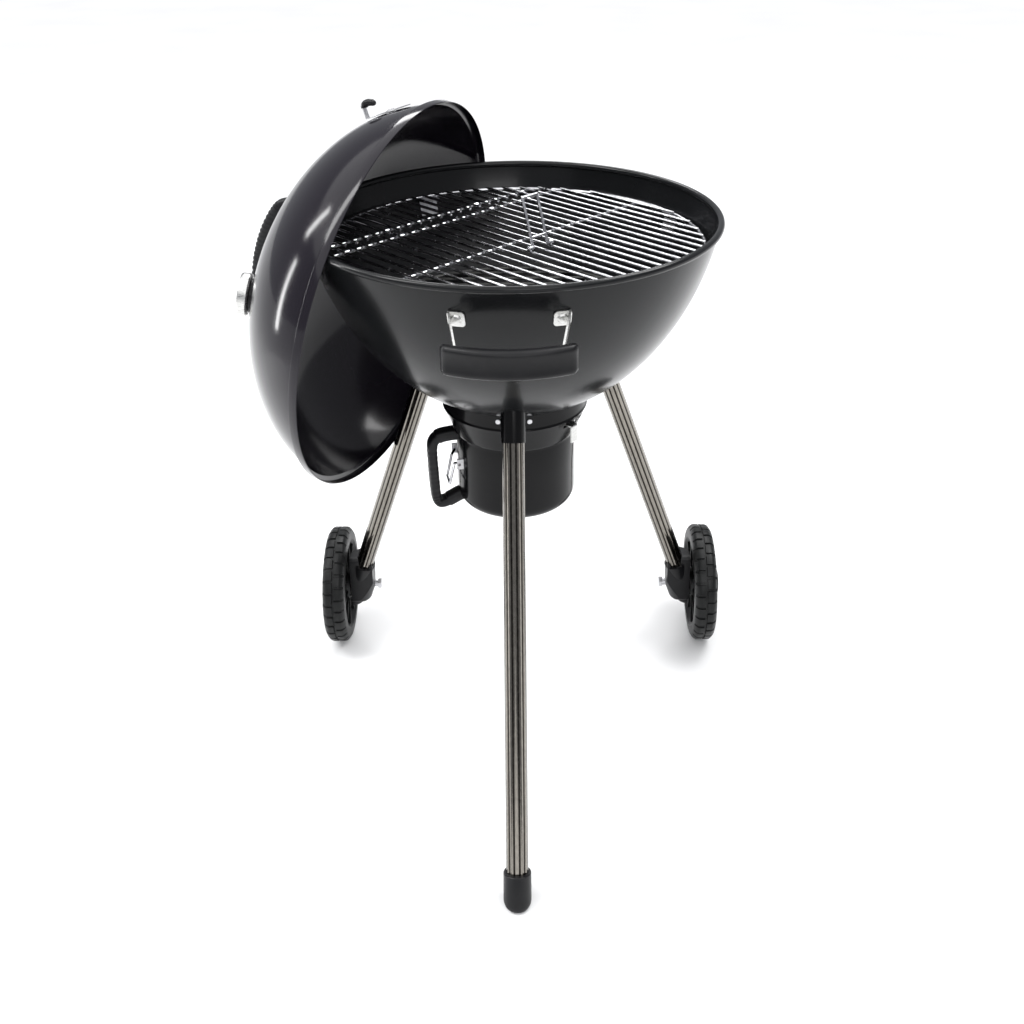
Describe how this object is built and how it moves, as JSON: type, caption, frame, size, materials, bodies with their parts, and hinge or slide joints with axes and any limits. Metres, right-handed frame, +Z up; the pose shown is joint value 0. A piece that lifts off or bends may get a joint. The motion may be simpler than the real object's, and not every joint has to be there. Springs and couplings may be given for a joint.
{
  "type": "kettle charcoal grill",
  "caption": "Kettle charcoal grill on splayed legs with two wheels, ash bucket with handle, wire grate with hinged flap, and the domed lid hung on the side of the bowl.",
  "frame": {"origin": "on the ground, on the bowl's vertical axis", "axes": "+Z up, front leg and bowl handle toward -Y, wheels toward +Y at left and right, lid hung toward -X"},
  "size_m": [0.7554, 0.7701, 0.9918],
  "materials": {
    "enamel": "gloss porcelain enamel",
    "bright_steel": "satin stainless",
    "plated_wire": "plated wire",
    "black_plastic": "moulded, satin",
    "tread_plastic": "moulded wheel",
    "zinc": "zinc plated",
    "alu": "plain",
    "dial_white": "printed plate",
    "needle_red": "painted",
    "clear": "clear lens"
  },
  "bodies": {
    "stand": {"bowl": "enamel", "grate_supports_upper": "zinc", "grate_supports_lower": "zinc", "leg_sockets": "enamel", "socket_bolts": "zinc", "front_leg": "bright_steel", "rear_right_leg": "bright_steel", "rear_left_leg": "bright_steel", "front_foot_cap": "black_plastic", "rear_leg_caps": "black_plastic", "axle_bolts": "zinc", "axle_washers": "zinc", "axle_nuts": "zinc", "bowl_handle_grip": "black_plastic", "bowl_handle_brackets": "bright_steel", "bowl_handle_rivets": "zinc", "ash_collar": "enamel", "collar_screws": "zinc"},
    "lid": {"lid_dome": "enamel", "lid_hook": "zinc", "lid_handle": "black_plastic", "lid_handle_screws": "zinc", "vent_rivet": "alu", "thermometer_base": "black_plastic", "thermometer_case": "bright_steel", "thermometer_dial": "dial_white", "thermometer_lens": "clear", "thermometer_nut": "zinc"},
    "lid_vent": {"vent_damper": "alu", "vent_knob": "black_plastic"},
    "thermometer_pointer": {"thermometer_needle": "needle_red"},
    "cooking_grate": {"cooking_grate": "plated_wire"},
    "grate_flap": {"grate_flap": "plated_wire", "flap_clips": "plated_wire"},
    "grate_bail": {"grate_bail": "plated_wire"},
    "charcoal_grate": {"charcoal_grate": "bright_steel"},
    "cleaning_system": {"cleaning_blades": "bright_steel", "cleaning_lever": "zinc", "shaft_nut": "zinc"},
    "ash_catcher": {"ash_bucket": "enamel", "bucket_handle": "black_plastic", "bucket_handle_screw": "zinc", "latch_lugs": "zinc"},
    "latch_wire": {"latch_wire": "plated_wire"},
    "left_wheel": {"left_wheel": "tread_plastic", "left_hub_cap": "black_plastic"},
    "right_wheel": {"right_wheel": "tread_plastic", "right_hub_cap": "black_plastic"}
  },
  "joints": [
    {"name": "lid_lift", "type": "slide", "parent": "stand", "child": "lid", "axis": [0, 0, 1], "range_m": [0, 0.25]},
    {"name": "vent_turn", "type": "hinge", "parent": "lid", "child": "lid_vent", "pos_m": [-0.16951, 0.08531, 0.97098], "axis": [-0.3013, 0.1803, 0.9363], "range_deg": [0, 60]},
    {"name": "needle_turn", "type": "hinge", "parent": "lid", "child": "thermometer_pointer", "pos_m": [-0.37886, -0.00767, 0.73381], "axis": [-0.9825, -0.0319, 0.1836], "range_deg": [-240, 30]},
    {"name": "grate_lift", "type": "slide", "parent": "stand", "child": "cooking_grate", "axis": [0, 0, 1], "range_m": [0, 0.045]},
    {"name": "flap_hinge", "type": "hinge", "parent": "cooking_grate", "child": "grate_flap", "pos_m": [-0.09687, 0.09687, 0.8032], "axis": [0.7071, 0.7071, 0], "range_deg": [0, 95]},
    {"name": "bail_fold", "type": "hinge", "parent": "cooking_grate", "child": "grate_bail", "pos_m": [0.03889, -0.03889, 0.8126], "axis": [0.7071, 0.7071, 0], "range_deg": [-72, 105]},
    {"name": "charcoal_grate_lift", "type": "slide", "parent": "stand", "child": "charcoal_grate", "axis": [0, 0, 1], "range_m": [0, 0.06]},
    {"name": "blade_sweep", "type": "hinge", "parent": "stand", "child": "cleaning_system", "pos_m": [0, 0, 0.5534], "axis": [0, 0, 1], "range_deg": [0, 60]},
    {"name": "ash_catcher_drop", "type": "slide", "parent": "stand", "child": "ash_catcher", "axis": [0, 0, -1], "range_m": [0, 0.12]},
    {"name": "latch_squeeze", "type": "hinge", "parent": "ash_catcher", "child": "latch_wire", "pos_m": [-0.08754, -0.01861, 0.478], "axis": [0.2079, -0.9781, 0], "range_deg": [-9, 8], "stiffness_Nm_per_rad": 0.1},
    {"name": "left_wheel_spin", "type": "hinge", "parent": "stand", "child": "left_wheel", "pos_m": [-0.3184, 0.2093, 0.1003], "axis": [1, 0, 0], "continuous": true},
    {"name": "right_wheel_spin", "type": "hinge", "parent": "stand", "child": "right_wheel", "pos_m": [0.3184, 0.2093, 0.1003], "axis": [1, 0, 0], "continuous": true}
  ]
}
